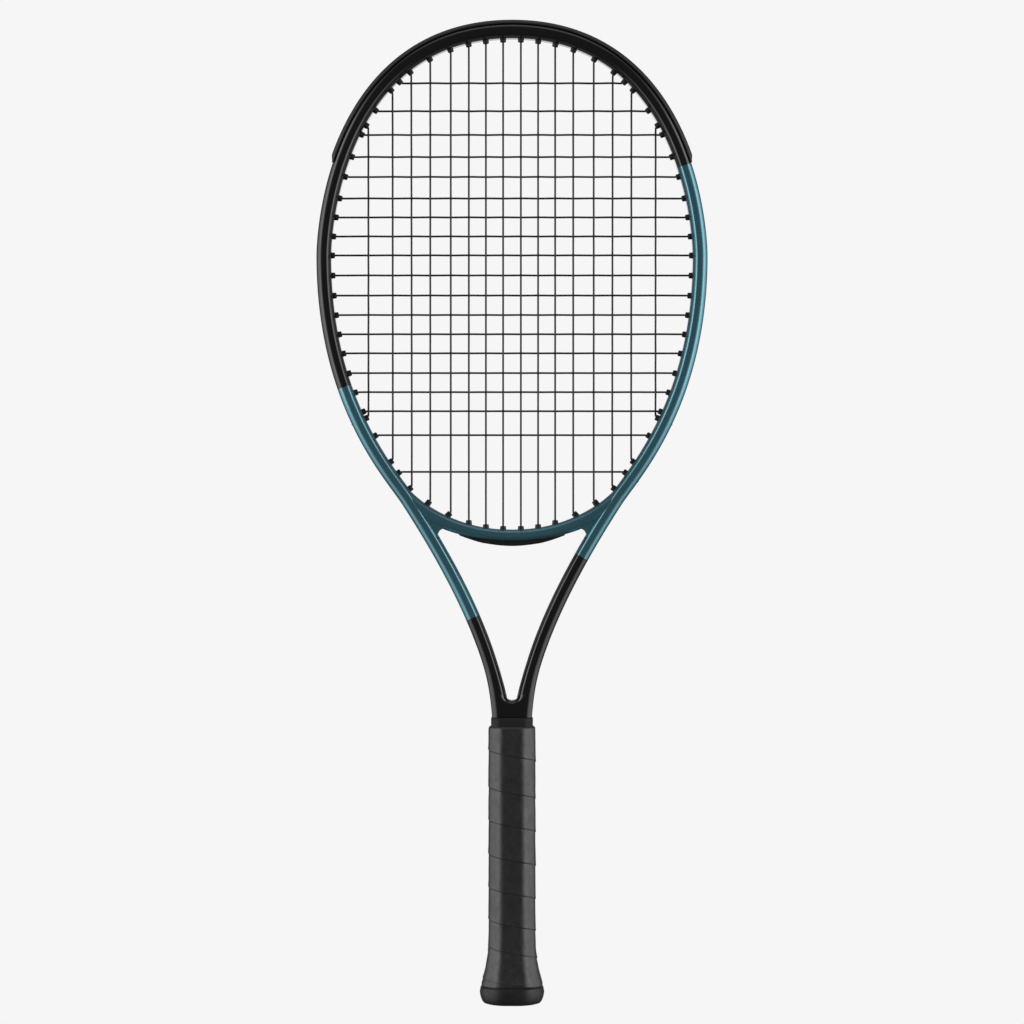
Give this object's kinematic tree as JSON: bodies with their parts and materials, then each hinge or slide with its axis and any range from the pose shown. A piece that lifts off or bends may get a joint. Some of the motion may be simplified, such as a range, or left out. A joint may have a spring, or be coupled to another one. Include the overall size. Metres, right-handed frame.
{
  "type": "tennis racket",
  "caption": "Adult tennis racket with an oval strung head, open V throat with bridge, bumper guard, wrapped octagonal grip and flared butt cap.",
  "frame": {"origin": "centre of the butt's lowest face, on the racket's centre plane", "axes": "+Z along the handle towards the head, +X across the face to the right, +Y through the strings; the face shown in front looks along -Y"},
  "size_m": [0.272, 0.04, 0.6847],
  "materials": {
    "hoop_paint": "gloss black lacquer over carbon",
    "shaft_paint": "gloss black lacquer; teal above the paint split",
    "bridge_paint": "metallic teal lacquer",
    "bumper_plastic": "satin",
    "grommet_plastic": "satin",
    "string": "smooth monofilament",
    "foam": "rigid foam",
    "collar_rubber": "matt",
    "grip_wrap": "matt cushioned synthetic",
    "cap_plastic": "satin moulded",
    "staple_wire": "bright"
  },
  "bodies": {
    "racket": {"frame_hoop": "hoop_paint", "frame_shaft_right": "shaft_paint", "frame_shaft_left": "shaft_paint", "throat_bridge": "bridge_paint", "bumper_guard": "bumper_plastic", "grommet_strip_right": "grommet_plastic", "grommet_strip_left": "grommet_plastic", "throat_grommet_strip": "grommet_plastic", "main_string": "string", "cross_string": "string", "handle_pallet_front": "foam", "handle_pallet_back": "foam", "handle_collar": "collar_rubber", "base_grip": "grip_wrap", "butt_cap": "cap_plastic", "butt_cap_staple_front": "staple_wire", "butt_cap_staple_back": "staple_wire"},
    "butt_door": {"butt_cap_door": "cap_plastic"}
  },
  "joints": [
    {"name": "butt_door_slide", "type": "slide", "parent": "racket", "child": "butt_door", "axis": [0, 0, -1], "range_m": [0, 0.012]}
  ]
}
